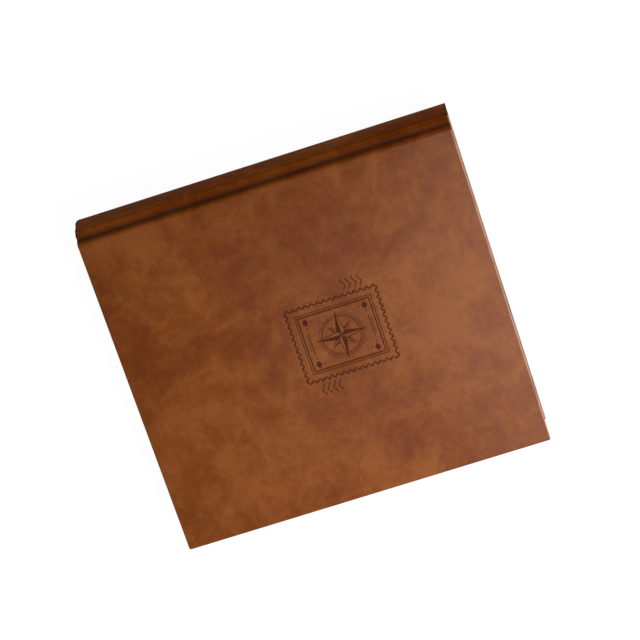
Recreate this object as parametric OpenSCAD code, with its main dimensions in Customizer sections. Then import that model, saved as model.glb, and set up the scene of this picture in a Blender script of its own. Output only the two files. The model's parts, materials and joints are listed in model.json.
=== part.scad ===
// Stamp stock album: hard leather case, rounded spine, ten stock leaves on a concealed twin-loop wire.
// Millimetres, +Z up. The album lies closed on its back cover: front cover up, spine at -X, head at +Y.

/* [Case] */
// Height of the covers, head to tail
case_height = 280; // [200:1:360]
// Width of a cover, from the groove to the fore-edge
cover_width = 246.4; // [180:0.1:320]
// Thickness of the covering leather
leather_t = 0.7; // [0.5:0.1:1.2]
// Thickness of a cover board
board_t = 3; // [2:0.1:4]
// Rounding of the leather-covered edges
edge_round = 1.5; // [0.5:0.1:2]
// Rounding of a cover's corners, seen from above
corner_round = 2; // [0.5:0.1:5]
// Width of leather turned in at head, tail and fore-edge
turn_in = 15; // [8:1:25]
// Width of leather turned in along the groove
turn_in_groove = 6; // [5:0.5:12]
// Thickness of the paper pasted over the inside of a cover
pastedown_t = 0.3; // [0.2:0.05:0.5]
// Distance of the pasted paper from a cover's edges
pastedown_inset = 4; // [3:0.5:8]
// Room between the infill sheet and the turned-in leather
infill_clear = 0.2; // [0.1:0.1:1]

/* [Spine] */
// Distance from a cover's edge to the line that it hinges on
hinge_setback = 6.5; // [5.5:0.1:9]
// Depth of a hinge line below the cover's outer face
hinge_depth = 2; // [1.6:0.1:3]
// How far the middle of the spine bulges past its hinge lines
spine_bulge = 3.2; // [1:0.1:6]
// Thickness of the spine board
spine_board_t = 2; // [1.5:0.1:3]
// Thickness of the paper lining of the spine
spine_liner_t = 0.3; // [0.2:0.05:0.5]
// How far the spine's rolled leather edges stand out past its faces
roll_over = 0.05; // [0.05:0.05:0.2]
// Depth of the groove between a cover and the spine
groove_depth = 3; // [2.4:0.1:3.6]
// Depth at which the groove's leather leaves the cover's edge
groove_start = 1.7; // [1.6:0.1:2]
// Room between the groove's leather and the rolled edge of the spine
groove_clear = 0.3; // [0.2:0.05:0.6]

/* [Wire] */
// Diameter of the binding wire
wire_d = 1.5; // [1:0.1:2]
// Distance from one twin loop to the next
loop_pitch = 12.7; // [8.5:0.1:14]
// Distance between the two wires of a twin loop
twin_gap = 4; // [3:0.1:5]
// Least distance of a loop from the head or tail of the leaves
loop_end_room = 12; // [8:1:20]
// Angle on the loop of the bars that join neighbouring loops
root_angle = -99; // [-100:1:-96]
// Angle on the loop of the bars that close each loop
tip_angle = -111; // [-120:1:-110]
// How far the middle of the wire stands above the first leaf's guard, at the top of a loop
loop_over = 2.85; // [2.4:0.05:6]
// Room between the loops and the front pastedown
wire_top_clear = 0.7; // [0.4:0.1:1.5]
// Room between the loops and the spine
wire_spine_clear = 0.65; // [0.4:0.05:1.5]
// Room around the wire in a punched slot
slot_clear = 0.5; // [0.3:0.05:0.8]

/* [Leaves] */
// Thickness of a leaf's card
card_t = 0.8; // [0.5:0.1:0.9]
// Thickness of each guard strip at a leaf's binding edge
guard_t = 1; // [0.8:0.1:1.05]
// Width of a guard strip
guard_w = 20; // [18:1:30]
// Distance from a leaf's binding edge to the middle of its slots
slot_setback = 8; // [6.5:0.5:10]
// Room between the guards of two leaves
leaf_gap = 0.3; // [0.15:0.05:0.4]
// Distance of the middle leaves from the cover's fore-edge
fore_margin = 6; // [3:0.5:12]
// Distance of the leaves from the cover's head and tail
head_margin = 5; // [2:0.5:12]
// Rounding of a leaf's fore-edge corners
leaf_corner = 3; // [1:0.5:10]
// Rows of clear pockets on a leaf's face
pocket_rows = 8; // [4:1:9]
// Thickness of a clear pocket strip
pocket_t = 0.3; // [0.1:0.05:0.3]
// Distance between two pocket strips
pocket_gap = 3; // [2:0.5:8]
// Distance of the pocket strips from the leaf's head and tail
pocket_end = 3; // [2:0.5:10]
// Distance of the pocket strips from the leaf's fore-edge
pocket_fore = 4; // [1:0.5:10]
// Thickness of the glassine interleaf
glassine_t = 0.2; // [0.1:0.05:0.3]
// Distance of the pockets and the glassine from the guard
guard_step = 1; // [0.5:0.5:5]

/* [Back lining] */
// Thickness of the punched end card
end_card_t = 1.2; // [0.8:0.1:1.4]
// Room between the last leaf and the end card
end_gap = 0.4; // [0.3:0.05:0.8]
// Distance of the end card from the middle of the loops, towards the spine
end_card_reach = 0.5; // [0:0.1:1]
// Distance of the spacer board from the middle of the loops
spacer_setback = 13.5; // [12:0.5:20]

/* [Hidden] */
$fn = 96;
eps = 0.01;
slab_t = board_t + 2 * leather_t;              // a cover without its pasted paper
band_t = leather_t + spine_board_t + spine_liner_t;
band_half = band_t / 2;
roll_r = band_half + roll_over;                // rolled leather edge of the spine
leaf_n = 10;
guarded_t = card_t + 2 * guard_t;
leaf_pitch = guarded_t + leaf_gap;
stack_half = (leaf_n * leaf_pitch - leaf_gap) / 2;
// The wire is chosen to suit the leaves, and the case to suit the wire
loop_r = stack_half + loop_over;
case_thickness = 2 * (slab_t + pastedown_t + loop_r) + wire_d + wire_top_clear;
spine_reach = hinge_setback + spine_bulge + band_half;
shift = (cover_width - spine_reach) / 2;       // brings the middle of the whole album to X = 0
half_span = case_thickness / 2 - hinge_depth;
spine_r = (half_span * half_span + spine_bulge * spine_bulge) / (2 * spine_bulge);
spine_cx = spine_r - hinge_setback - spine_bulge;
spine_a = asin(half_span / spine_r);
loop_z = slab_t + pastedown_t + wire_d / 2 + loop_r;
loop_x = band_half - hinge_setback - spine_bulge + wire_spine_clear + wire_d / 2 + loop_r;
leaf_h = case_height - 2 * head_margin;
loops = floor((leaf_h - 2 * loop_end_room - twin_gap) / loop_pitch) + 1;
leaf_w = cover_width - fore_margin - (loop_x + loop_r - slot_setback);
// Where the loop's circle stands at a height d from its middle, and how wide the slanting wire is there
function wire_x(d) = sqrt(loop_r * loop_r - d * d);
function wire_half(d) = wire_d / 2 * loop_r / wire_x(d);
function leaf_d(k) = ((leaf_n + 1) / 2 - k) * leaf_pitch;
// All leaves are alike, so their slots are cut for the steepest wire, that of the first and last leaves
far_d = stack_half;
near_d = leaf_d(1) - guarded_t / 2;
slot_in = wire_x(leaf_d(1)) - (wire_x(far_d) - wire_half(far_d) - slot_clear);
slot_out = wire_x(near_d) + wire_half(near_d) + slot_clear - wire_x(leaf_d(1));
slot_w = twin_gap + wire_d + 2 * slot_clear + 0.5;
end_card_top = loop_z - stack_half - end_gap;
end_far = loop_z - end_card_top + end_card_t;
end_near = loop_z - end_card_top;
row_h = (leaf_h - 2 * pocket_end + pocket_gap) / pocket_rows;

leather_c = [0.40, 0.20, 0.10];
board_c = [0.55, 0.50, 0.43];
paper_c = [0.86, 0.83, 0.76];
card_c = [0.07, 0.07, 0.07];

module place() { translate([-shift, 0, 0]) children(); }
// The back cover is drawn with its outer face at Z = 0, and the front cover is its mirror image above it
module as_front() { translate([0, 0, case_thickness]) mirror([0, 0, 1]) children(); }
module along_y(len) { rotate([90, 0, 0]) translate([0, 0, -len / 2]) linear_extrude(len) children(); }
module block(x0, x1, len, z0, z1) { translate([x0, -len / 2, z0]) cube([x1 - x0, len, z1 - z0]); }

module round_bar(w, h, r) {
  translate([r, 0]) square([w - 2 * r, h]);
  translate([0, r]) square([w, h - 2 * r]);
  for (x = [r, w - r], y = [r, h - r]) translate([x, y]) circle(r);
}

// ---- covers ----
module cover_slab() {
  intersection() {
    along_y(case_height) round_bar(cover_width, slab_t, edge_round);
    rotate([90, 0, 90]) translate([-case_height / 2, 0, 0])
      linear_extrude(cover_width) round_bar(case_height, slab_t, edge_round);
    translate([0, -case_height / 2, 0])
      linear_extrude(slab_t) round_bar(cover_width, case_height, corner_round);
  }
}

module cover_leather() {
  difference() {
    cover_slab();
    block(leather_t, cover_width - leather_t, case_height - 2 * leather_t, leather_t, leather_t + board_t);
    block(turn_in_groove, cover_width - turn_in, case_height - 2 * turn_in,
          leather_t + board_t - eps, slab_t + 1);
  }
}

module cover_board() {
  block(leather_t, cover_width - leather_t, case_height - 2 * leather_t, leather_t, leather_t + board_t);
}

module cover_infill() {
  block(turn_in_groove + infill_clear, cover_width - turn_in - infill_clear,
        case_height - 2 * (turn_in + infill_clear), leather_t + board_t, slab_t);
}

module cover_pastedown() {
  block(pastedown_inset, cover_width - pastedown_inset, case_height - 2 * pastedown_inset,
        slab_t, slab_t + pastedown_t);
}

// Leather of the groove: an arc of leather from the cover's edge to the rolled edge of the spine
module cover_joint() {
  span = hinge_setback - roll_r - groove_clear;
  sag = groove_depth + leather_t / 2 - groove_start;
  r = (span * span / 4 + sag * sag) / (2 * sag);
  along_y(case_height) difference() {
    intersection() {
      translate([-span / 2, groove_depth + leather_t / 2 - r]) difference() {
        circle(r + leather_t / 2);
        circle(r - leather_t / 2);
      }
      translate([-span - 1, groove_start]) square([span + 1, r + leather_t]);
    }
    translate([-hinge_setback, hinge_depth]) circle(roll_r + groove_clear);
  }
}

module front_leather() { color(leather_c) place() as_front() cover_leather(); }
module front_board() { color(board_c) place() as_front() cover_board(); }
module front_infill() { color(paper_c) place() as_front() cover_infill(); }
module front_pastedown() { color(paper_c) place() as_front() cover_pastedown(); }
module front_joint() { color(leather_c) place() as_front() cover_joint(); }
module back_leather() { color(leather_c) place() cover_leather(); }
module back_board() { color(board_c) place() cover_board(); }
module back_infill() { color(paper_c) place() cover_infill(); }
module back_pastedown() { color(paper_c) place() cover_pastedown(); }
module back_joint() { color(leather_c) place() cover_joint(); }

// ---- spine ----
module spine_sector(r0, r1, a) {
  far = 1.1 * r1;
  translate([spine_cx, case_thickness / 2]) intersection() {
    difference() {
      circle(r1, $fn = 360);
      circle(r0, $fn = 360);
    }
    polygon([[0, 0], [-far * cos(a), far * sin(a)], [-far * cos(a), -far * sin(a)]]);
  }
}

// Half angle of the board and the lining, which stop just short of the rolled leather edges
fill_a = spine_a - asin(0.8 / spine_r);

module spine_leather() {
  color(leather_c) place() difference() {
    along_y(case_height) {
      spine_sector(spine_r - band_half, spine_r + band_half, spine_a);
      for (z = [hinge_depth, case_thickness - hinge_depth]) translate([-hinge_setback, z]) circle(roll_r);
    }
    along_y(case_height - 2 * leather_t)
      spine_sector(spine_r - band_t, spine_r + band_half - leather_t, fill_a);
  }
}

module spine_board() {
  color(board_c) place() along_y(case_height - 2 * leather_t)
    spine_sector(spine_r - band_half + spine_liner_t, spine_r + band_half - leather_t, fill_a);
}

module spine_liner() {
  color(paper_c) place() along_y(case_height - 2 * leather_t)
    spine_sector(spine_r - band_half, spine_r - band_half + spine_liner_t, fill_a);
}

// ---- binding wire ----
function loop_y(i) = (i - (loops - 1) / 2) * loop_pitch;
over = 0.6;                                    // how far wires and bars run past each other where they meet
over_a = over / loop_r * 180 / PI;

module loop_bar(a, y0, y1) {
  rotate([0, -a, 0]) translate([loop_r, y0 - over, 0]) rotate([-90, 0, 0])
    cylinder(d = wire_d - 0.1, h = y1 - y0 + 2 * over, $fn = 32);
}

module binding_wire() {
  color([0.10, 0.10, 0.11]) place() translate([loop_x, 0, loop_z]) {
    for (i = [0 : loops - 1]) {
      for (s = [-1, 1]) translate([0, loop_y(i) + s * twin_gap / 2, 0]) rotate([90, 0, 0])
        rotate([0, 0, root_angle - over_a]) rotate_extrude(angle = 360 + tip_angle - root_angle + 2 * over_a)
          translate([loop_r, 0]) circle(d = wire_d, $fn = 32);
      loop_bar(tip_angle, loop_y(i) - twin_gap / 2, loop_y(i) + twin_gap / 2);
      if (i < loops - 1) loop_bar(root_angle, loop_y(i) + twin_gap / 2, loop_y(i + 1) - twin_gap / 2);
    }
  }
}

// ---- lining of the back cover ----
module back_spacer() {
  color(board_c) place()
    sheet(loop_x + spacer_setback, cover_width - fore_margin, leaf_h, leaf_corner,
          slab_t + pastedown_t, end_card_top - end_card_t);
}

module back_end_card() {
  x0 = loop_x + wire_x(end_far) - wire_half(end_far) - slot_clear;
  x1 = loop_x + wire_x(end_near) + wire_half(end_near) + slot_clear;
  color(card_c) place() difference() {
    sheet(loop_x - end_card_reach, cover_width - fore_margin, leaf_h, leaf_corner,
          end_card_top - end_card_t, end_card_top);
    for (i = [0 : loops - 1]) translate([x0, loop_y(i) - slot_w / 2, 0])
      cube([x1 - x0, slot_w, case_thickness]);
  }
}

// ---- leaves ----
// A leaf's own frame: X = 0 at its binding edge, Z = 0 at mid-thickness of its card
module at_leaf(k) {
  place() translate([loop_x + wire_x(leaf_d(k)) - slot_setback, 0, loop_z + leaf_d(k)]) children();
}

module leaf_slots() {
  for (i = [0 : loops - 1]) translate([slot_setback - slot_in, loop_y(i) - slot_w / 2, -guarded_t])
    cube([slot_in + slot_out, slot_w, 2 * guarded_t]);
}

// A sheet with square corners at the binding edge and rounded ones at the fore-edge
module sheet(x0, x1, len, r, z0, z1) {
  translate([0, 0, z0]) linear_extrude(z1 - z0) {
    translate([x0, -len / 2]) square([x1 - x0 - r, len]);
    translate([x1 - 2 * r, r - len / 2]) square([2 * r, len - 2 * r]);
    for (y = [r - len / 2, len / 2 - r]) translate([x1 - r, y]) circle(r);
  }
}

module leaf_card(k) {
  color(card_c) at_leaf(k) difference() {
    sheet(0, leaf_w, leaf_h, leaf_corner, -card_t / 2, card_t / 2);
    leaf_slots();
  }
}

module leaf_guard(k) {
  color([0.16, 0.15, 0.14]) at_leaf(k) for (s = [0, 1]) mirror([0, 0, s]) difference() {
    block(0, guard_w, leaf_h, card_t / 2, card_t / 2 + guard_t);
    leaf_slots();
  }
}

module leaf_pockets(k) {
  color([0.85, 0.88, 0.90, 0.35]) at_leaf(k) for (s = [0, 1], j = [0 : pocket_rows - 1])
    mirror([0, 0, s]) translate([guard_w + guard_step, -leaf_h / 2 + pocket_end + j * row_h, card_t / 2])
      cube([leaf_w - pocket_fore - guard_w - guard_step, row_h - pocket_gap, pocket_t]);
}

module leaf_glassine(k) {
  color([0.92, 0.90, 0.84, 0.6]) at_leaf(k)
    sheet(guard_w + guard_step, leaf_w, leaf_h, leaf_corner,
          card_t / 2 + pocket_t, card_t / 2 + pocket_t + glassine_t);
}

front_leather();
front_board();
front_infill();
front_pastedown();
front_joint();
back_leather();
back_board();
back_infill();
back_pastedown();
back_joint();
back_spacer();
back_end_card();
binding_wire();
spine_leather();
spine_board();
spine_liner();
leaf_card(1);  // leaf_01_card
leaf_guard(1);  // leaf_01_guard
leaf_pockets(1);  // leaf_01_pockets
leaf_glassine(1);  // leaf_01_glassine
leaf_card(2);  // leaf_02_card
leaf_guard(2);  // leaf_02_guard
leaf_pockets(2);  // leaf_02_pockets
leaf_glassine(2);  // leaf_02_glassine
leaf_card(3);  // leaf_03_card
leaf_guard(3);  // leaf_03_guard
leaf_pockets(3);  // leaf_03_pockets
leaf_glassine(3);  // leaf_03_glassine
leaf_card(4);  // leaf_04_card
leaf_guard(4);  // leaf_04_guard
leaf_pockets(4);  // leaf_04_pockets
leaf_glassine(4);  // leaf_04_glassine
leaf_card(5);  // leaf_05_card
leaf_guard(5);  // leaf_05_guard
leaf_pockets(5);  // leaf_05_pockets
leaf_glassine(5);  // leaf_05_glassine
leaf_card(6);  // leaf_06_card
leaf_guard(6);  // leaf_06_guard
leaf_pockets(6);  // leaf_06_pockets
leaf_glassine(6);  // leaf_06_glassine
leaf_card(7);  // leaf_07_card
leaf_guard(7);  // leaf_07_guard
leaf_pockets(7);  // leaf_07_pockets
leaf_glassine(7);  // leaf_07_glassine
leaf_card(8);  // leaf_08_card
leaf_guard(8);  // leaf_08_guard
leaf_pockets(8);  // leaf_08_pockets
leaf_glassine(8);  // leaf_08_glassine
leaf_card(9);  // leaf_09_card
leaf_guard(9);  // leaf_09_guard
leaf_pockets(9);  // leaf_09_pockets
leaf_glassine(9);  // leaf_09_glassine
leaf_card(10);  // leaf_10_card
leaf_guard(10);  // leaf_10_guard
leaf_pockets(10);  // leaf_10_pockets
leaf_glassine(10);  // leaf_10_glassine
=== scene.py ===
import json
import math

import bmesh
import bpy
import numpy as np
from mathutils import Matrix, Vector


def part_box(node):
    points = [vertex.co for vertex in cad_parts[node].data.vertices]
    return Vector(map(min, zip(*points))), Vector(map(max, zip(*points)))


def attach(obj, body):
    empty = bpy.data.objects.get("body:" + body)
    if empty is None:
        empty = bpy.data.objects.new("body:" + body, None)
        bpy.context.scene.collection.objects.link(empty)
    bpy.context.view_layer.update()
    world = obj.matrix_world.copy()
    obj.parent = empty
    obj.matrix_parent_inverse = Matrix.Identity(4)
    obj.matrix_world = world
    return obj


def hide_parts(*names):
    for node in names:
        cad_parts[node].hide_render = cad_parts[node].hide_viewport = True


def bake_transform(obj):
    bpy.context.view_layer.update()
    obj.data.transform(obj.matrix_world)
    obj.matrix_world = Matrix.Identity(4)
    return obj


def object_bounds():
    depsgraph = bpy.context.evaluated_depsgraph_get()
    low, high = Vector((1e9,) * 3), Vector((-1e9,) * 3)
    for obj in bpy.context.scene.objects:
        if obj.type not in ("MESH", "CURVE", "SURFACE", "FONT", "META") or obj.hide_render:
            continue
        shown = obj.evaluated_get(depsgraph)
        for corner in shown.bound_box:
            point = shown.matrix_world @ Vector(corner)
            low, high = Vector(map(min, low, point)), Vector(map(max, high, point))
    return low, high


bl_info = {
    "name": "Stamp Stock Album",
    "version": (1, 0, 0),
    "blender": (4, 5, 0),
    "location": "3D View > Sidebar > Album",
    "description": "Dresses a leather stamp album with ten stock leaves and a twin-loop binding",
    "category": "Object",
}

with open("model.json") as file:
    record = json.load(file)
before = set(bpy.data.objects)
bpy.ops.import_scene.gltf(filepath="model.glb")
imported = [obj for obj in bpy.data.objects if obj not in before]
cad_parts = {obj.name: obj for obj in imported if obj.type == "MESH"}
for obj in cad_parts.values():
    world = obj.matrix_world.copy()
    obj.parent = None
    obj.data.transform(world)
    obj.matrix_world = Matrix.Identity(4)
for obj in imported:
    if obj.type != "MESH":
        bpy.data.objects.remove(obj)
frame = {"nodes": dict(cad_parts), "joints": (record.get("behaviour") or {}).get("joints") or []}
CAD_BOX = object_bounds()
NODES = frame["nodes"]
JOINTS = {joint["name"]: joint for joint in frame["joints"]}
MM = 0.001

# Places taken from the CAD model, in metres: the spine is at -X, the head of the book at +Y, the tail at -Y
FRONT_LOW, FRONT_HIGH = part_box("front_leather")
BACK_LOW, BACK_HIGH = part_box("back_leather")
SPINE_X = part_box("spine_leather")[0].x
FRONT_HINGE = Vector(JOINTS["front_cover_hinge"]["pos_m"])
BACK_HINGE = Vector(JOINTS["spine_hinge"]["pos_m"])
BOARD_EDGE_X = FRONT_LOW.x
TAIL_Y, HEAD_Y = FRONT_LOW.y, FRONT_HIGH.y
TOP_Z = CAD_BOX[1][2]

# What counts as the same place, and how much of a direction lies along an axis that it follows
TOUCH = 0.01 * MM
STRAIGHT = 0.99

# The spine's full front shoulder: distance from the end of the band in mm, then how far it stands outwards
# and upwards, as parts of the shoulder's size
SHOULDER = ((0, 0, 0), (1.5, -0.12, 0.86), (3, 0.34, 1.45), (4.5, 0.77, 1.77), (6, 1, 1.91),
            (8, 0.92, 2.03), (12, 0.55, 1.81), (16, 0.25, 1.39), (20, 0.07, 0.73), (23.8, 0, 0))
# Antiquing wax and painted shade on the spine, darkest on the roll by the groove: distance from the end of
# the band in mm, then how much
SPINE_WAX_AND_SHADE = ((0, 0.7), (0.6, 0.62), (2, 0.35), (3.2, 0.13), (5, 0), (8, 0), (10, 0.09), (12, 0.2),
             (16, 0.24), (20, 0.17), (24, 0))
# Distances in mm from head and tail at which the spine's leather is cut, finer towards its rounded ends
SPINE_END_CUTS = (1.3, 2.2, 3.5, 5, 7, 9, 12)
# Parts that the arc of the spine's leather is cut into
SPINE_ARC_PARTS = 22
# Angles in degrees at which the groove's leather follows the rolled edge of the spine
ROLL_ANGLES = (112, 96, 80, 64, 48, 32, 14)
# The groove from the roll to the cover: distance from the board's edge in mm, then depth as a part of the
# groove's
VALLEY = ((4.72, 0.8), (4.4, 0.95), (3.95, 1), (3.4, 0.93), (2.7, 0.74), (1.9, 0.53), (1.1, 0.34),
          (0.35, 0.18), (-0.3, 0.085), (-0.8, 0.042), (-1.3, 0.024))
# Antiquing wax and painted shade in the groove, darkest at its bottom: distance from the board's edge in mm,
# then how much
GROOVE_WAX_AND_SHADE = ((-0.6, 0), (0.35, 0.05), (1.1, 0.3), (1.9, 0.53), (2.7, 0.63), (3.3, 0.78), (4, 0.8),
              (4.6, 0.79), (5.5, 0.76), (7.1, 0.64))
# How much of the spine's drawing in the groove follows: distance from the board's edge in mm, then the part
GROOVE_PULL = ((0.5, 0), (2, 0.06), (3.4, 0.25), (4.3, 0.4), (5, 0.6), (6, 0.85), (7, 1))
# Cells of the groove's mesh across and along the groove
GROOVE_CELLS = (56, 140)

# The studio, in metres and watts: a square sweep just under the album, two square soft boxes that look at it,
# and a camera almost above it, turned so that the spine runs up to the right
FLOOR_WIDTH = 14
FLOOR_DROP = 0.2 * MM
LAMP_WIDTH = 0.6
LAMP_AIM = Vector((0, 0, 0.02))
LAMPS = {"key": ((0.293, 0.318, 0.759), 9.6), "head edge": ((0.1, 1.25, 0.35), 4)}
CAMERA_PLACE = (-0.55732, 0.18758, 1.86698)
CAMERA_TURN = [math.radians(angle) for angle in (-17.532628, 0.0211994, 71.8367757)]
CAMERA_LENS = 148.6


# ------------------------------------------------------------------ settings
def srgb(code):
    """A hex colour as linear red, green, blue, alpha."""
    values = [int(code[i:i + 2], 16) / 255 for i in (1, 3, 5)]
    return [v / 12.92 if v <= 0.04045 else ((v + 0.055) / 1.055) ** 2.4 for v in values] + [1.0]


def length_prop(name, text, default, low=0.0):
    return bpy.props.FloatProperty(name=name, description=text, default=default, min=low,
                                   unit="LENGTH", subtype="DISTANCE")


def colour_prop(name, text, code):
    return bpy.props.FloatVectorProperty(name=name, description=text, size=4, subtype="COLOR",
                                         min=0.0, max=1.0, default=srgb(code))


class AlbumSizes(bpy.types.PropertyGroup):
    leather: length_prop("Leather", "Thickness of the covering leather", 0.7 * MM)
    edge: length_prop("Edge rounding", "Rounding of the leather over a cover's edges", 1.1 * MM)
    corner: length_prop("Corner rounding", "Rounding of a cover's corners seen from above", 1.4 * MM)
    turn_in: length_prop("Turn-in", "Width of leather turned in at head, tail and fore-edge", 15 * MM)
    turn_in_groove: length_prop("Turn-in at the groove", "Width of leather turned in by the groove", 6 * MM)
    groove: length_prop("Groove depth", "Depth of the groove below the cover's face", 3 * MM)
    groove_leather: length_prop("Groove leather", "Thickness of the pared leather in the grooves", 0.5 * MM)
    roll: length_prop("Roll", "Radius of the groove's leather round the spine's rolled edge", 1.58 * MM)
    band: length_prop("Spine thickness", "Thickness of the spine with its board and lining", 3 * MM)
    shoulder: length_prop("Spine shoulders", "How far the spine's shoulders stand out of its arc", 1.77 * MM)
    drawn_in: length_prop("Spine ends drawn in", "How far the shoulders draw in at the tail", 1.6 * MM)
    spine_end: length_prop("Spine end rounding", "Rounding of the spine's leather at head and tail", 0.9 * MM)
    emblem_width: length_prop("Emblem field", "Side of the square that holds the pressed emblem", 84 * MM)
    emblem_x: length_prop("Emblem X", "Middle of the emblem across the cover", 4 * MM, low=-1.0)
    emblem_y: length_prop("Emblem Y", "Middle of the emblem along the cover", 19 * MM, low=-1.0)
    emblem_depth: length_prop("Emblem depth", "How deep the emblem is pressed into the leather", 0.25 * MM)


class AlbumColours(bpy.types.PropertyGroup):
    leather_light: colour_prop("Leather, light", "Orange brown of the lighter clouds", "#794218")
    leather_mid: colour_prop("Leather, middle", "Brown between the clouds", "#6C360D")
    leather_dark: colour_prop("Leather, dark", "Red brown of the darker clouds", "#602B06")
    # painted highlight, partly wear: pale brown mixed into the head edges
    worn_and_lit_leather: colour_prop("Leather, worn", "Pale brown where the head edges are rubbed", "#C4A690")
    # painted shade, partly wax: near black mixed into the grooves, the roll and the spine
    wax_and_shade: colour_prop("Antiquing wax", "Near black of the wax in grooves and rolls", "#200B03")
    emblem: colour_prop("Emblem", "Dark brown of the pressed lines", "#3B1508")
    endpaper: colour_prop("Endpaper", "Cream paper inside the covers", "#CDBFA2")
    board: colour_prop("Board", "Grey book board", "#8F877B")
    card: colour_prop("Leaf card", "Black card of the leaves", "#1B1B1C")
    cloth: colour_prop("Guard cloth", "Black bookcloth of the guards", "#23211F")
    film: colour_prop("Clear film", "Tint of the clear pocket strips", "#E8ECEE")
    glassine: colour_prop("Glassine", "Milky tint of the interleaves", "#E6E2D4")
    glassine_fibre: colour_prop("Glassine fibres", "Greyer tint of the interleaves' fibres", "#D8D3C3")
    wire: colour_prop("Wire coating", "Black nylon coat of the wire", "#1C1C1E")
    wire_dark: colour_prop("Wire coating, dark", "Darker spots of the wire's coat", "#161617")


def sizes():
    return bpy.context.scene.album_sizes


def colours():
    return bpy.context.scene.album_colours


# ------------------------------------------------------------------ mesh helpers
def soft_step(value, start, length):
    """Goes softly from 0, where the value is start, to 1, this length further on."""
    t = np.clip((value - start) / length, 0, 1)
    return t * t * (3 - 2 * t)


def read(table, lengths, column=1):
    """What a table of rows, each with a distance in mm first, says at these lengths in metres."""
    rows = np.array(table, float)
    return np.interp(lengths / MM, rows[:, 0], rows[:, column])


def deselect():
    if bpy.context.object and bpy.context.object.mode != "OBJECT":
        bpy.ops.object.mode_set(mode="OBJECT")
    bpy.ops.object.select_all(action="DESELECT")


def activate(obj):
    deselect()
    obj.select_set(True)
    bpy.context.view_layer.objects.active = obj


def keep_size(name, size):
    """Names the new primitive, and puts its size and place into its mesh."""
    obj = bpy.context.object
    obj.name = obj.data.name = name
    obj.scale = size
    bpy.ops.object.transform_apply(location=True, rotation=True, scale=True)
    return obj


def block(name, low, high):
    """A cube between two corners."""
    deselect()
    low, high = Vector(low), Vector(high)
    bpy.ops.mesh.primitive_cube_add(size=1, location=(low + high) / 2)
    return keep_size(name, high - low)


def edit(obj):
    """Opens edit mode with nothing selected."""
    activate(obj)
    bpy.ops.object.mode_set(mode="EDIT")
    bpy.ops.mesh.select_all(action="DESELECT")


def pick(obj, kind, test):
    """Selects the edges or faces of the edited mesh that pass a test."""
    bpy.ops.mesh.select_mode(type=kind)
    bpy.ops.mesh.select_all(action="DESELECT")
    mesh = bmesh.from_edit_mesh(obj.data)
    found = [item for item in {"EDGE": mesh.edges, "FACE": mesh.faces}[kind] if test(item)]
    if not found:
        raise RuntimeError(f"nothing to select on {obj.name}")
    for item in found:
        item.select_set(True)
    bmesh.update_edit_mesh(obj.data)


def edge_along(edge, axis):
    direction = (edge.verts[1].co - edge.verts[0].co).normalized()
    return abs(direction[axis]) > STRAIGHT


def level_at(face, z):
    return abs(face.calc_center_median().z - z) < TOUCH and abs(face.normal.z) > STRAIGHT


def pick_window(obj, z, window):
    """Selects the level faces at height z between the sides (x, x, y, y) of a window."""
    def inside(face):
        middle = face.calc_center_median()
        return (level_at(face, z) and window[0] < middle.x < window[1]
                and window[2] < middle.y < window[3])
    pick(obj, "FACE", inside)


def cut_window(obj, z, window):
    """Cuts the level face at height z along the sides of a window, and selects what lies inside."""
    for i, side in enumerate(window):
        across = Vector((1, 0, 0)) if i < 2 else Vector((0, 1, 0))
        pick(obj, "FACE", lambda face: level_at(face, z))
        bpy.ops.mesh.bisect(plane_co=side * across, plane_no=across)
    pick_window(obj, z, window)


def cut_through(place, normal):
    """Cuts the whole edited mesh along a plane."""
    bpy.ops.mesh.select_all(action="SELECT")
    bpy.ops.mesh.bisect(plane_co=place, plane_no=normal)


def apply_modifier(obj, kind, **settings):
    activate(obj)
    modifier = obj.modifiers.new(kind.title(), kind)
    for key, value in settings.items():
        setattr(modifier, key, value)
    bpy.ops.object.modifier_apply(modifier=modifier.name)


def turn_outwards(obj):
    edit(obj)
    bpy.ops.mesh.select_all(action="SELECT")
    bpy.ops.mesh.remove_doubles(threshold=0.1 * TOUCH)
    bpy.ops.mesh.normals_make_consistent(inside=False)
    bpy.ops.object.mode_set(mode="OBJECT")


def smooth(obj, angle):
    activate(obj)
    bpy.ops.object.shade_smooth_by_angle(angle=math.radians(angle))


def point_values(obj, name, values):
    """Writes a number at each point of a mesh for its material to read."""
    attribute = obj.data.attributes.get(name) or obj.data.attributes.new(name, "FLOAT", "POINT")
    attribute.data.foreach_set("value", np.asarray(values, np.float32))


def coordinates(obj):
    co = np.zeros(len(obj.data.vertices) * 3, np.float32)
    obj.data.vertices.foreach_get("co", co)
    return co.reshape(-1, 3).astype(float)


def move_points(obj, co):
    obj.data.vertices.foreach_set("co", np.asarray(co, np.float32).ravel())
    obj.data.update()


# ------------------------------------------------------------------ materials
def node_adder(tree):
    """Empties a node tree, and gives the function that adds a node to it with its settings and links."""
    tree.nodes.clear()

    def add(kind, sockets=None, stops=(), **settings):
        node = tree.nodes.new("ShaderNode" + kind)
        for key, value in settings.items():
            setattr(node, key, value)
        for key, value in (sockets or {}).items():
            if isinstance(value, bpy.types.NodeSocket):
                tree.links.new(value, node.inputs[key])
            else:
                node.inputs[key].default_value = value
        for i, (place, colour) in enumerate(stops):
            elements = node.color_ramp.elements
            element = elements[i] if i < len(elements) else elements.new(place)
            element.position = place
            element.color = colour
        return node

    return add


def new_material(name, finish, *settings):
    """A material. Its finish adds the nodes, and gives what goes into the sockets of its shader."""
    new = bpy.data.materials.new(name)
    new.use_nodes = True
    add = node_adder(new.node_tree)
    shader = add("BsdfPrincipled", finish(add, *settings))
    add("OutputMaterial", {"Surface": shader.outputs[0]})
    return new


def cells(size):
    """Scale of a pattern whose largest cells are this many millimetres across."""
    return 1 / (size * MM)


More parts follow.
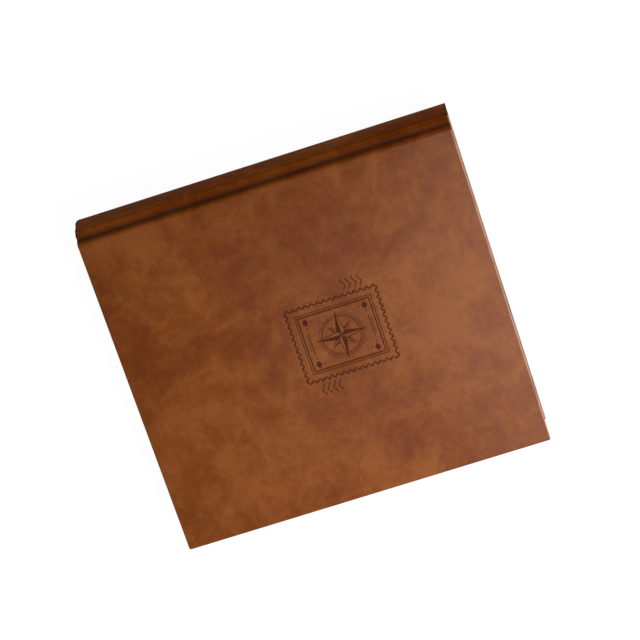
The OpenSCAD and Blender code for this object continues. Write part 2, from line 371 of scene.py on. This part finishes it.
def threads(size):
    """Scale of a wave whose light and dark bands are both this many millimetres wide."""
    return math.pi / 10 / (2 * size * MM)


def tinted(colour, part):
    """A linear colour times one number, or times one for each of red, green and blue."""
    return (*np.minimum(1, np.array(tuple(colour)[:3]) * part), 1)


def leather(add, gloss, rough_low, rough_high, lift=1):
    # Corrected-grain cowhide, drum dyed and hand antiqued: soft clouds of colour about 20 mm across, in
    # wider drifts and with smaller flecks, over a fine pressed grain, a waxy low sheen, paler where rubbed
    # and where a highlight is painted
    c = colours()
    place = add("TexCoord").outputs["Object"]
    drift = add("TexNoise", {"Vector": place, "Scale": cells(71.43), "Detail": 3, "Roughness": 0.5,
                             "Distortion": 0.4})
    clouds = add("TexNoise", {"Vector": place, "Scale": cells(21.74), "Detail": 5, "Roughness": 0.58,
                              "Distortion": 0.6})
    flecks = add("TexNoise", {"Vector": place, "Scale": cells(5.263), "Detail": 4, "Roughness": 0.6,
                              "Distortion": 0.2})
    broad = add("Math", {0: clouds.outputs["Fac"], 1: drift.outputs["Fac"]}, operation="ADD")
    mottle = add("Math", {0: flecks.outputs["Fac"], 1: 0.5, 2: broad.outputs[0]}, operation="MULTIPLY_ADD")
    tone = add("MapRange", {"Value": mottle.outputs[0], "From Min": 0.88, "From Max": 1.62})
    dye = add("ValToRGB", {"Fac": tone.outputs[0]}, [(0.18, tinted(c.leather_dark, lift)),
                                                     (0.5, tinted(c.leather_mid, lift)),
                                                     (0.82, tinted(c.leather_light, lift))])
    # pores about 0.8 mm apart and a grain of about 0.5 mm, a little coarser than real so that they show
    pores = add("TexVoronoi", {"Vector": place, "Scale": cells(0.7692), "Randomness": 1})
    grain = add("TexNoise", {"Vector": place, "Scale": cells(0.4545), "Detail": 2, "Roughness": 0.6})
    speck = add("MapRange", {"Value": grain.outputs["Fac"], "From Min": 0.3, "From Max": 0.7,
                             "To Min": 0.91, "To Max": 1.09})
    colour = add("Mix", {0: 1, 6: dye.outputs[0], 7: speck.outputs[0]}, data_type="RGBA",
                 blend_type="MULTIPLY")
    # over the dye lie the rubbed edges with a painted highlight, broken up by the clouds, the wax with
    # painted shade in the grooves and on the spine, and the emblem, darkened by the heated die
    wear_and_highlight = add("Attribute", attribute_name="wear_and_highlight")
    broken = add("MapRange", {"Value": clouds.outputs["Fac"], "From Min": 0.3, "From Max": 0.7,
                              "To Min": 0.35, "To Max": 1})
    rubbed_and_lit = add("Math", {0: wear_and_highlight.outputs["Fac"], 1: broken.outputs[0]}, operation="MULTIPLY")
    wax_shade = add("Attribute", attribute_name="wax_shade")
    emblem = add("Attribute", attribute_name="emblem")
    for mask, tint in ((rubbed_and_lit.outputs[0], c.worn_and_lit_leather), (wax_shade.outputs["Fac"], c.wax_and_shade),
                       (emblem.outputs["Fac"], c.emblem)):
        colour = add("Mix", {0: mask, 6: colour.outputs[2], 7: tuple(tint)}, data_type="RGBA")
    # relief of the grain, with faint handling scratches about 1 mm across and 17 mm long
    stretch = add("Mapping", {"Vector": place, "Scale": (cells(16.67), cells(1.111), cells(16.67)),
                              "Rotation": (0, 0, 0.6)})
    scratch = add("TexNoise", {"Vector": stretch.outputs[0], "Scale": 1, "Detail": 2, "Roughness": 0.5})
    scratched = add("ValToRGB", {"Fac": scratch.outputs["Fac"]}, [(0.66, (0, 0, 0, 1)), (0.74, (1, 1, 1, 1))])
    pored = add("Math", {0: pores.outputs["Distance"], 1: 0.55, 2: grain.outputs["Fac"]},
                operation="MULTIPLY_ADD")
    height = add("Math", {0: scratched.outputs[0], 1: -0.5, 2: pored.outputs[0]}, operation="MULTIPLY_ADD")
    bump = add("Bump", {"Height": height.outputs[0], "Strength": 0.24, "Distance": 0.4 * MM})
    # the die leaves its lines duller than the waxed face
    rough = add("MapRange", {"Value": clouds.outputs["Fac"], "From Min": 0.3, "From Max": 0.7,
                             "To Min": rough_low, "To Max": rough_high})
    dull = add("Math", {0: emblem.outputs["Fac"], 1: 0.4, 2: rough.outputs[0]}, operation="MULTIPLY_ADD")
    return {"Base Color": colour.outputs[2], "Roughness": dull.outputs[0], "Normal": bump.outputs[0],
            "IOR": 1.46, "Specular IOR Level": gloss}


def sheet(add, colour, fibre, spread, roughness, relief, laid=1):
    # Paper, card and board: fibres felted together, matte, with a faint cloudiness about 30 mm across
    place = add("TexCoord").outputs["Object"]
    stretch = add("Mapping", {"Vector": place, "Scale": (1, laid, 1)})
    fibres = add("TexNoise", {"Vector": stretch.outputs[0], "Scale": cells(fibre), "Detail": 5,
                              "Roughness": 0.65})
    cloud = add("TexNoise", {"Vector": place, "Scale": cells(33.33), "Detail": 3, "Roughness": 0.5})
    both = add("Math", {0: fibres.outputs["Fac"], 1: cloud.outputs["Fac"]}, operation="ADD")
    tone = add("Math", {0: both.outputs[0], 1: 0.5}, operation="MULTIPLY")
    base = add("ValToRGB", {"Fac": tone.outputs[0]}, [(0.35, tinted(colour, 1 - spread)),
                                                      (0.65, tinted(colour, 1 + spread))])
    bump = add("Bump", {"Height": fibres.outputs["Fac"], "Strength": relief, "Distance": 0.3 * MM})
    return {"Base Color": base.outputs[0], "Normal": bump.outputs[0], "Roughness": roughness,
            "Specular IOR Level": 0.3}


def bookcloth(add):
    # Starch-filled cotton: plain weave of threads about 0.5 mm wide, matte
    place = add("TexCoord").outputs["Object"]
    warp, weft = (add("TexWave", {"Vector": place, "Scale": threads(0.4909), "Distortion": 0.6},
                      wave_type="BANDS", bands_direction=axis) for axis in "XY")
    weave = add("Math", {0: warp.outputs["Fac"], 1: weft.outputs["Fac"]}, operation="MULTIPLY")
    base = add("ValToRGB", {"Fac": weave.outputs[0]}, [(0.1, tinted(colours().cloth, 0.5)),
                                                       (0.8, tinted(colours().cloth, 1.6))])
    bump = add("Bump", {"Height": weave.outputs[0], "Strength": 0.5, "Distance": 0.3 * MM})
    return {"Base Color": base.outputs[0], "Normal": bump.outputs[0], "Roughness": 0.85,
            "Specular IOR Level": 0.25}


def clear_film(add):
    # Clear polyester strip: thin, glossy, slightly wavy
    place = add("TexCoord").outputs["Object"]
    wave = add("TexNoise", {"Vector": place, "Scale": cells(16.67), "Detail": 1})
    bump = add("Bump", {"Height": wave.outputs["Fac"], "Strength": 0.25, "Distance": 1 * MM})
    return {"Base Color": tuple(colours().film), "Normal": bump.outputs[0], "Roughness": 0.08, "IOR": 1.57,
            "Alpha": 0.22}


def glassine(add):
    # Supercalendered translucent paper: milky, faintly glossy, with fibres
    place = add("TexCoord").outputs["Object"]
    fibre = add("TexNoise", {"Vector": place, "Scale": cells(7.143), "Detail": 5, "Roughness": 0.7})
    base = add("ValToRGB", {"Fac": fibre.outputs["Fac"]}, [(0.35, tuple(colours().glassine_fibre)),
                                                           (0.65, tuple(colours().glassine))])
    bump = add("Bump", {"Height": fibre.outputs["Fac"], "Strength": 0.12, "Distance": 0.4 * MM})
    return {"Base Color": base.outputs[0], "Normal": bump.outputs[0], "Roughness": 0.32, "IOR": 1.47,
            "Alpha": 0.45}


def coated_wire(add):
    # Drawn steel wire with a nylon coat: smooth, half-gloss black
    place = add("TexCoord").outputs["Object"]
    skin = add("TexNoise", {"Vector": place, "Scale": cells(1.4286), "Detail": 2})
    base = add("ValToRGB", {"Fac": skin.outputs["Fac"]}, [(0.3, tuple(colours().wire_dark)),
                                                          (0.7, tuple(colours().wire))])
    bump = add("Bump", {"Height": skin.outputs["Fac"], "Strength": 0.08, "Distance": 0.2 * MM})
    return {"Base Color": base.outputs[0], "Normal": bump.outputs[0], "Roughness": 0.34, "IOR": 1.53}


def make_materials():
    """The album's materials by their short names."""
    c = colours()
    return {
        "leather": new_material("Antiqued brown leather", leather, 0.115, 0.3, 0.36),
        # the same hide on the spine, with hardly any shine: a redder, lighter copy whose lift of the dyes is
        # painted light
        "spine_leather": new_material("Spine leather, waxed with painted shade", leather, 0.0008, 0.36, 0.44,
                                      (1.22, 1.1, 1)),
        # the same hide in the grooves: a little redder, with a low shine
        "groove_leather": new_material("Creased brown leather", leather, 0.05, 0.34, 0.42,
                                       (1.08, 1.04, 1)),
        # uncoated text paper: a smooth cream face, fibres about 2.4 mm long
        "endpaper": new_material("Cream endpaper", sheet, c.endpaper, 2.381, 0.07, 0.85, 0.18),
        # pressed grey board: coarse fibres about 4 mm long, quite matte
        "board": new_material("Grey book board", sheet, c.board, 3.846, 0.16, 0.9, 0.35),
        # dyed-through album card: black to its edges, fine fibres laid along the page
        "card": new_material("Black album card", sheet, c.card, 1.6667, 0.3, 0.78, 0.2, 0.4),
        "cloth": new_material("Black bookcloth", bookcloth),
        "film": new_material("Clear polyester film", clear_film),
        "glassine": new_material("Glassine", glassine),
        "wire": new_material("Nylon-coated wire", coated_wire),
    }


MATERIALS = {}


def dress(obj, key):
    """Gives a piece its material. All of them are made for the first piece."""
    if not MATERIALS:
        MATERIALS.update(make_materials())
    obj.data.materials.clear()
    obj.data.materials.append(MATERIALS[key])


# ------------------------------------------------------------------ emblem
# The shapes are drawn in mm from the emblem's middle, u along X and v along Y, as distances that are below
# zero inside them. STAMP_HALF is half the stamp's width and height, and LINE_EDGE the width of the slope
# beside a line.
STAMP_HALF = (29, 35)
PERFORATION_PITCH = 4.8
PERFORATION_RADIUS = 1.55
LINE_EDGE = 0.5


def segment_distance(u, v, start, end):
    start, end = np.array(start, float), np.array(end, float)
    run = end - start
    t = np.clip(((u - start[0]) * run[0] + (v - start[1]) * run[1]) / (run @ run), 0, 1)
    return np.hypot(u - start[0] - t * run[0], v - start[1] - t * run[1])


def polygon_distance(u, v, points):
    distance = np.full(u.shape, np.inf)
    inside = np.zeros(u.shape, bool)
    for (x1, y1), (x2, y2) in zip(points, points[1:] + points[:1]):
        distance = np.minimum(distance, segment_distance(u, v, (x1, y1), (x2, y2)))
        if y1 != y2:
            inside ^= ((y1 > v) != (y2 > v)) & (u < (x2 - x1) * (v - y1) / (y2 - y1) + x1)
    return np.where(inside, -distance, distance)


def box_distance(u, v, half_w, half_h):
    du, dv = np.abs(u) - half_w, np.abs(v) - half_h
    return np.hypot(np.maximum(du, 0), np.maximum(dv, 0)) + np.minimum(np.maximum(du, dv), 0)


def polar(radius, degrees):
    return radius * np.array((math.cos(math.radians(degrees)), math.sin(math.radians(degrees))))


def stamp_frame(u, v):
    """The perforated outline of a stamp, and two plain frames in it."""
    half_w, half_h = STAMP_HALF
    outline = box_distance(u, v, half_w, half_h)
    across, along = (np.linspace(-half, half, round(2 * half / PERFORATION_PITCH) + 1) for half in STAMP_HALF)
    holes = [(x, side * half_h) for x in across for side in (-1, 1)]
    holes += [(side * half_w, y) for y in along for side in (-1, 1)]
    for x, y in holes:
        outline = np.maximum(outline, PERFORATION_RADIUS - np.hypot(u - x, v - y))
    return [np.abs(outline) - 0.5,
            np.abs(box_distance(u, v, 22.8, 28.8)) - 0.32,
            np.abs(box_distance(u, v, 21, 27)) - 0.5]


def compass(u, v):
    """A star of four long and four short rays, each with one filled half, in a ring of two lines and dots."""
    shapes = []
    middle = (0, 0)
    for angle in (90, 180, 270, 360):
        tip, filled_side, open_side = polar(18.5, angle), polar(4.4, angle + 45), polar(4.4, angle - 45)
        shapes.append(polygon_distance(u, v, [middle, tip, filled_side]))
        shapes.append(segment_distance(u, v, tip, open_side) - 0.3)
        shapes.append(segment_distance(u, v, tip, middle) - 0.3)
        short_tip, foot, half_foot = polar(12, angle + 45), polar(5.4, angle + 45), polar(1.612, angle + 135)
        shapes.append(polygon_distance(u, v, [foot, short_tip, foot + half_foot]))
        shapes.append(segment_distance(u, v, short_tip, foot - half_foot) - 0.28)
    radius = np.hypot(u, v)
    shapes += [np.abs(radius - 14.4) - 0.34, np.abs(radius - 15.9) - 0.22]
    for i in range(48):
        if i % 6:
            x, y = polar(17.2, 7.5 * i)
            shapes.append(np.hypot(u - x, v - y) - (0.42 if i % 2 else 0.3))
    return shapes


def corner_marks(u, v):
    """A lozenge and two dots in each corner of the frame, and two short bars by its ends."""
    shapes = []
    for right in (-1, 1):
        for up in (-1, 1):
            x, y = right * 16.6, up * 22.4
            shapes.append(np.abs(u - x) * 0.75 + np.abs(v - y) - 2.3)
            shapes.append(np.hypot(u - x + right * 4.4, v - y) - 0.6)
            shapes.append(np.hypot(u - x, v - y + up * 4.2) - 0.6)
    for up in (-1, 1):
        shapes.append(np.maximum(np.abs(v - up * 23) - 0.32, np.abs(u) - 8.5))
        shapes.append(np.maximum(np.abs(v - up * 24.6) - 0.2, np.abs(u) - 6.5))
    return shapes


def cancel_waves(u, v):
    """Four short wavy strokes beyond each long side of the stamp."""
    shapes = []
    wave = 1.1 * np.sin((u - 30) * 0.75)
    for i in range(4):
        shapes.append(np.maximum(np.abs(v + 12.5 + i * 4.2 - wave) - 0.42, np.maximum(31.6 - u, u - 40.5)))
        shapes.append(np.maximum(np.abs(v - 25 + i * 4.2 - wave) - 0.42, np.maximum(u + 31.6, -40.5 - u)))
    return shapes


def emblem_cover(u, v):
    """How far a point lies inside the pressed lines, from 0 to 1 over a soft edge."""
    shapes = stamp_frame(u, v) + compass(u, v) + corner_marks(u, v) + cancel_waves(u, v)
    return soft_step(-np.minimum.reduce(shapes), -LINE_EDGE / 2, LINE_EDGE)


def press_emblem(obj, z):
    """Cuts a fine field into the cover's face and presses the emblem into it."""
    s = sizes()
    half = s.emblem_width / 2
    field = (s.emblem_x - half, s.emblem_x + half, s.emblem_y - half, s.emblem_y + half)
    edit(obj)
    cut_window(obj, z, field)
    bpy.ops.mesh.subdivide(number_cuts=13)
    pick_window(obj, z, field)
    bpy.ops.mesh.subdivide(number_cuts=12)
    bpy.ops.object.mode_set(mode="OBJECT")
    co = coordinates(obj)
    u, v = co[:, 0] - s.emblem_x, co[:, 1] - s.emblem_y
    # the rim of the field stays as it is
    limit = half - 0.2 * MM
    inside = (np.abs(u) < limit) & (np.abs(v) < limit) & (np.abs(co[:, 2] - z) < TOUCH)
    pressed = np.zeros(len(co))
    pressed[inside] = emblem_cover(u[inside] / MM, v[inside] / MM)
    co[:, 2] -= pressed * s.emblem_depth
    move_points(obj, co)
    point_values(obj, "emblem", pressed)


# ------------------------------------------------------------------ covers
def cover_skin(name, low, high, inner_z):
    """Leather of a cover: wrapped over its edges and turned in round an open window inside."""
    s = sizes()
    obj = block(name, low, high)
    edit(obj)
    pick(obj, "EDGE", lambda edge: edge_along(edge, 2))
    bpy.ops.mesh.bevel(offset=s.corner, segments=4, affect="EDGES")
    pick(obj, "EDGE", lambda edge: not edge_along(edge, 2))
    bpy.ops.mesh.bevel(offset=s.edge, segments=5, affect="EDGES")
    window = (low.x + s.turn_in_groove, high.x - s.turn_in, low.y + s.turn_in, high.y - s.turn_in)
    cut_window(obj, inner_z, window)
    bpy.ops.mesh.delete(type="FACE")
    bpy.ops.object.mode_set(mode="OBJECT")
    return obj


def paint_edge_wear_light_and_shade(obj, low, high):
    """Paints a pale highlight along the head edge, where the leather is also rubbed, and a faint painted
    shadow on the cover beside the groove.
    """
    s = sizes()
    co = coordinates(obj)
    # painted shadow: the cover is a little darker within 4 mm of the groove
    point_values(obj, "wax_shade", 0.1 * (1 - soft_step(co[:, 0], low.x, 4 * MM)))
    # painted highlight, partly wear: only the head edges, which face the lamps, are made paler
    wear_and_highlight = np.clip(1 - (high.y - co[:, 1]) / (0.9 * s.edge), 0, 1)
    # half as much on the flat of the edge as on its roundings, which catch the light
    from_face = np.minimum(co[:, 2] - low.z, high.z - co[:, 2])
    wear_and_highlight *= 1 - 0.5 * soft_step(from_face, 0.6 * s.edge, 0.4 * s.edge)
    point_values(obj, "wear_and_highlight", wear_and_highlight)


def finish_cover(obj, low, high):
    paint_edge_wear_light_and_shade(obj, low, high)
    turn_outwards(obj)
    apply_modifier(obj, "SOLIDIFY", thickness=sizes().leather, offset=-1, use_even_offset=True)
    dress(obj, "leather")
    smooth(obj, 50)


# ------------------------------------------------------------------ spine and grooves
def end_pull(y):
    """How much the leather draws in near the ends: fully at the tail, a fifth as much at the head."""
    reach = 9 * MM
    return soft_step(np.abs(y), HEAD_Y - reach, reach) * np.where(y < 0, 1, 0.2)


def spine_skin():
    """Leather of the spine: a flat band with rolled ends, bent round the spine's arc."""
    s = sizes()
    # the arc's radius, middle and half angle follow from the hinge lines and the spine's outer face
    half_span = (FRONT_HINGE.z - BACK_HINGE.z) / 2
    bulge = FRONT_HINGE.x - SPINE_X - s.band / 2
    radius = (half_span ** 2 + bulge ** 2) / (2 * bulge)
    arc_x, arc_z = FRONT_HINGE.x - bulge + radius, (FRONT_HINGE.z + BACK_HINGE.z) / 2
    arc = radius * math.asin(half_span / radius)
    run = arc + s.band / 2
    obj = block("spine_skin", (-s.band / 2, TAIL_Y, -run), (s.band / 2, HEAD_Y, run))
    edit(obj)
    pick(obj, "EDGE", lambda edge: edge_along(edge, 1))
    bpy.ops.mesh.bevel(offset=s.band / 2 - TOUCH, segments=7, affect="EDGES")
    # round the ends at head and tail on the outer side and over half of the rolled edges
    pick(obj, "EDGE", lambda edge: all(abs(abs(vert.co.y) - HEAD_Y) < TOUCH and vert.co.x < 0.2 * MM
                                       for vert in edge.verts))
    bpy.ops.mesh.bevel(offset=s.spine_end, segments=4, affect="EDGES", clamp_overlap=True)
    for i in range(1, SPINE_ARC_PARTS):
        cut_through((0, 0, 2 * arc * i / SPINE_ARC_PARTS - arc), (0, 0, 1))
    for side in (-1, 1):
        for inwards in SPINE_END_CUTS:
            cut_through((0, side * (HEAD_Y - inwards * MM), 0), (0, 1, 0))
    # open the inner face between the rolled edges
    opening = arc - 0.8 * MM
    pick(obj, "FACE", lambda face: face.normal.x > STRAIGHT and abs(face.calc_center_median().z) < opening)
    bpy.ops.mesh.delete(type="FACE")
    bpy.ops.object.mode_set(mode="OBJECT")
    flat = coordinates(obj)
    across, y, up = flat.T
    bent = np.column_stack([arc_x - (radius - across) * np.cos(up / radius), y,
                            arc_z + (radius - across) * np.sin(up / radius)])
    # full front shoulder: the leather stands out over the roll, and dies into the arc
    from_end = run - np.abs(up)
    outer = np.clip(-across / (s.band / 2), 0, 1) * (up > 0)
    bent[:, 0] -= outer * s.shoulder * read(SHOULDER, from_end, 1)
    bent[:, 2] += outer * s.shoulder * read(SHOULDER, from_end, 2)
    # it draws in at the ends, and the leather up to just behind the middle of the arc goes with it
    bent[:, 1] -= np.sign(y) * s.drawn_in * soft_step(up, -2 * MM, 16 * MM) * end_pull(y)
    move_points(obj, bent)
    # the roll and the cut ends hold the most antiquing wax; the roll's darkness and the band further along
    # the spine are also painted shade
    inwards = np.minimum(y - TAIL_Y, HEAD_Y - y)
    end_wax = 0.85 * (1 - soft_step(inwards, 0.5 * MM, 0.7 * MM))
    point_values(obj, "wax_shade", np.maximum(read(SPINE_WAX_AND_SHADE, from_end), end_wax))
    turn_outwards(obj)
    apply_modifier(obj, "SOLIDIFY", thickness=s.leather, offset=-1, use_even_offset=False)
    # the folded tips keep within the ends
    co = coordinates(obj)
    co[:, 1] = np.clip(co[:, 1], TAIL_Y, HEAD_Y)
    move_points(obj, co)
    dress(obj, "spine_leather")
    smooth(obj, 50)
    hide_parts("spine_leather")
    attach(obj, "spine")


def head_creases(from_edge, y):
    """Depth of two faint creases, slightly askew, that run along the groove near the head."""
    from_head = HEAD_Y - y
    near = np.exp(-((from_edge - 2.3 * MM - 0.012 * from_head) / (0.28 * MM)) ** 2)
    far = np.exp(-((from_edge - 5.6 * MM + 0.01 * from_head) / (0.3 * MM)) ** 2)
    return 0.22 * MM * (near + 0.7 * far) * soft_step(y, HEAD_Y - 34 * MM, 20 * MM)


def groove_skin(name, front):
    """Leather that runs from a cover's edge down into the groove and up onto the spine's rolled edge."""
    s = sizes()
    hinge = FRONT_HINGE if front else BACK_HINGE
    face_z = TOP_Z if front else 0
    down = -1 if front else 1
    # outer line of the leather, as (x, depth below the cover's face)
    hinge_depth = abs(face_z - hinge.z)
    turns = [math.radians(angle) for angle in ROLL_ANGLES]
    line = [(hinge.x + s.roll * math.cos(turn), hinge_depth - s.roll * math.sin(turn)) for turn in turns]
    line += [(BOARD_EDGE_X - out * MM, s.groove * part) for out, part in VALLEY]
    run = np.cumsum([0] + [math.dist(a, b) for a, b in zip(line, line[1:])])
    length = HEAD_Y - TAIL_Y - 0.1 * MM
    deselect()
    bpy.ops.mesh.primitive_grid_add(x_subdivisions=GROOVE_CELLS[0], y_subdivisions=GROOVE_CELLS[1], size=1,
                                    location=(run[-1] / 2, 0, 0))
    obj = keep_size(name, (run[-1], length, 1))
    if not front:
        edit(obj)
        bpy.ops.mesh.select_all(action="SELECT")
        bpy.ops.mesh.flip_normals()
        bpy.ops.object.mode_set(mode="OBJECT")
    # the flat grid is laid along the outer line
    along, y, _ = coordinates(obj).T
    line_x, line_depth = np.array(line).T
    x = np.interp(along, run, line_x)
    z = face_z + down * np.interp(along, run, line_depth)
    from_edge = BOARD_EDGE_X - x
    if front:
        # its ends draw in with the spine's shoulder
        y = y - np.sign(y) * s.drawn_in * read(GROOVE_PULL, from_edge) * end_pull(y)
        z -= head_creases(from_edge, y)
    move_points(obj, np.column_stack([x, y, z]))
    # antiquing wax with painted shade gathers at the bottom and thins out onto the cover, and it is painted
    # lighter towards the head, where the light falls
    near_head = soft_step(y, HEAD_Y - 45 * MM, 35 * MM)
    point_values(obj, "wax_shade", read(GROOVE_WAX_AND_SHADE, from_edge) * (1 - 0.16 * near_head))
    apply_modifier(obj, "SOLIDIFY", thickness=s.groove_leather, offset=-1, use_even_offset=False)
    dress(obj, "groove_leather")
    smooth(obj, 60)
    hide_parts("front_joint" if front else "back_joint")
    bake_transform(obj)


# ------------------------------------------------------------------ operators
class ALBUM_OT_covers(bpy.types.Operator):
    """Wrap both covers in leather and press the emblem into the front one"""
    bl_idname = "album.covers"
    bl_label = "Cover leather"

    def execute(self, context):
        front = cover_skin("front_cover_skin", FRONT_LOW, FRONT_HIGH, inner_z=FRONT_LOW.z)
        press_emblem(front, FRONT_HIGH.z)
        finish_cover(front, FRONT_LOW, FRONT_HIGH)
        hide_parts("front_leather")
        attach(front, "front_cover")
        back = cover_skin("back_cover_skin", BACK_LOW, BACK_HIGH, inner_z=BACK_HIGH.z)
        finish_cover(back, BACK_LOW, BACK_HIGH)
        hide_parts("back_leather")
        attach(back, "back_cover")
        return {"FINISHED"}


class ALBUM_OT_spine(bpy.types.Operator):
    """Shape the spine's leather and the two flexible grooves"""
    bl_idname = "album.spine"
    bl_label = "Spine and grooves"

    def execute(self, context):
        spine_skin()
        groove_skin("front_groove_skin", front=True)
        groove_skin("back_groove_skin", front=False)
        return {"FINISHED"}


class ALBUM_OT_inside(bpy.types.Operator):
    """Give the boards, papers, leaves and wire their finishes"""
    bl_idname = "album.inside"
    bl_label = "Leaves, boards and wire"

    def execute(self, context):
        # the last word of a node's name says what the piece is
        finishes = {"board": "board", "spacer": "board", "infill": "endpaper", "pastedown": "endpaper",
                    "liner": "endpaper", "card": "card", "guard": "cloth", "pockets": "film",
                    "glassine": "glassine", "wire": "wire", "leather": "leather", "joint": "leather"}
        for name, node in NODES.items():
            dress(node, finishes[name.rsplit("_", 1)[1]])
        return {"FINISHED"}


class ALBUM_OT_stage(bpy.types.Operator):
    """Add the floor, lamps, world and camera"""
    bl_idname = "album.stage"
    bl_label = "Studio"

    def execute(self, context):
        self.floor()
        for name, (place, power) in LAMPS.items():
            self.lamp(name, place, power)
        self.world()
        self.camera()
        return {"FINISHED"}

    @staticmethod
    def seen(add):
        """1 for what the camera sees, by itself, in a reflection or through something clear."""
        path = add("LightPath")
        mirrored = add("Math", {0: path.outputs["Is Glossy Ray"], 1: path.outputs["Is Transmission Ray"]},
                       operation="MAXIMUM")
        seen = add("Math", {0: path.outputs["Is Camera Ray"], 1: mirrored.outputs[0]}, operation="MAXIMUM")
        return seen.outputs[0]

    def floor(self):
        deselect()
        bpy.ops.mesh.primitive_plane_add(size=FLOOR_WIDTH, location=(0, 0, -FLOOR_DROP))
        floor = keep_size("floor", (1, 1, 1))
        # White sweep paper: seen by the camera it is nearly its own light, so that it stays white and keeps a
        # faint shadow
        sweep = bpy.data.materials.new("White sweep")
        sweep.use_nodes = True
        add = node_adder(sweep.node_tree)
        paper = add("BsdfPrincipled", {"Base Color": (0.86, 0.86, 0.86, 1), "Roughness": 0.9,
                                       "Specular IOR Level": 0.1})
        glow = add("Emission", {"Strength": 1.05})
        part = add("Math", {0: self.seen(add), 1: 0.92}, operation="MULTIPLY")
        mix = add("MixShader", {0: part.outputs[0], 1: paper.outputs[0], 2: glow.outputs[0]})
        add("OutputMaterial", {"Surface": mix.outputs[0]})
        floor.data.materials.append(sweep)

    def lamp(self, name, place, power):
        """A soft box that looks at the album and isn't seen itself."""
        data = bpy.data.lights.new(name, "AREA")
        data.energy = power
        data.size = LAMP_WIDTH
        lamp = bpy.data.objects.new(name, data)
        bpy.context.scene.collection.objects.link(lamp)
        lamp.location = place
        lamp.rotation_euler = (LAMP_AIM - Vector(place)).to_track_quat("-Z", "Y").to_euler()
        lamp.visible_camera = False

    def world(self):
        """Dim cool light on the album, white where it is seen."""
        world = bpy.data.worlds.new("Studio white")
        bpy.context.scene.world = world
        world.use_nodes = True
        add = node_adder(world.node_tree)
        dim = add("Background", {"Color": (0.95, 0.97, 1, 1), "Strength": 0.28})
        white = add("Background", {"Color": (1, 1, 1, 1), "Strength": 1})
        mix = add("MixShader", {0: self.seen(add), 1: dim.outputs[0], 2: white.outputs[0]})
        add("OutputWorld", {"Surface": mix.outputs[0]})

    def camera(self):
        """The camera, with plain colours on its pictures."""
        data = bpy.data.cameras.new("camera")
        data.sensor_width = 36
        data.lens = CAMERA_LENS
        data.clip_start = 0.05
        data.clip_end = 50
        camera = bpy.data.objects.new("camera", data)
        bpy.context.scene.collection.objects.link(camera)
        camera.location = CAMERA_PLACE
        camera.rotation_euler = CAMERA_TURN
        bpy.context.scene.camera = camera
        bpy.context.scene.view_settings.view_transform = "Standard"


class ALBUM_PT_panel(bpy.types.Panel):
    """Sizes, colours and steps of the album"""
    bl_idname = "ALBUM_PT_panel"
    bl_label = "Stamp album"
    bl_space_type = "VIEW_3D"
    bl_region_type = "UI"
    bl_category = "Album"

    def draw(self, context):
        column = self.layout.column()
        for group in (context.scene.album_sizes, context.scene.album_colours):
            for key in group.__annotations__:
                column.prop(group, key)
        for step in STEPS:
            column.operator(step.bl_idname)


STEPS = (ALBUM_OT_stage, ALBUM_OT_covers, ALBUM_OT_spine, ALBUM_OT_inside)
CLASSES = (AlbumSizes, AlbumColours) + STEPS + (ALBUM_PT_panel,)


def register():
    for cls in CLASSES:
        bpy.utils.register_class(cls)
    bpy.types.Scene.album_sizes = bpy.props.PointerProperty(type=AlbumSizes)
    bpy.types.Scene.album_colours = bpy.props.PointerProperty(type=AlbumColours)


def unregister():
    del bpy.types.Scene.album_colours
    del bpy.types.Scene.album_sizes
    for cls in reversed(CLASSES):
        bpy.utils.unregister_class(cls)


def main():
    register()
    bpy.ops.album.stage()
    bpy.ops.album.covers()
    bpy.ops.album.spine()
    bpy.ops.album.inside()


if __name__ == "__main__":
    main()
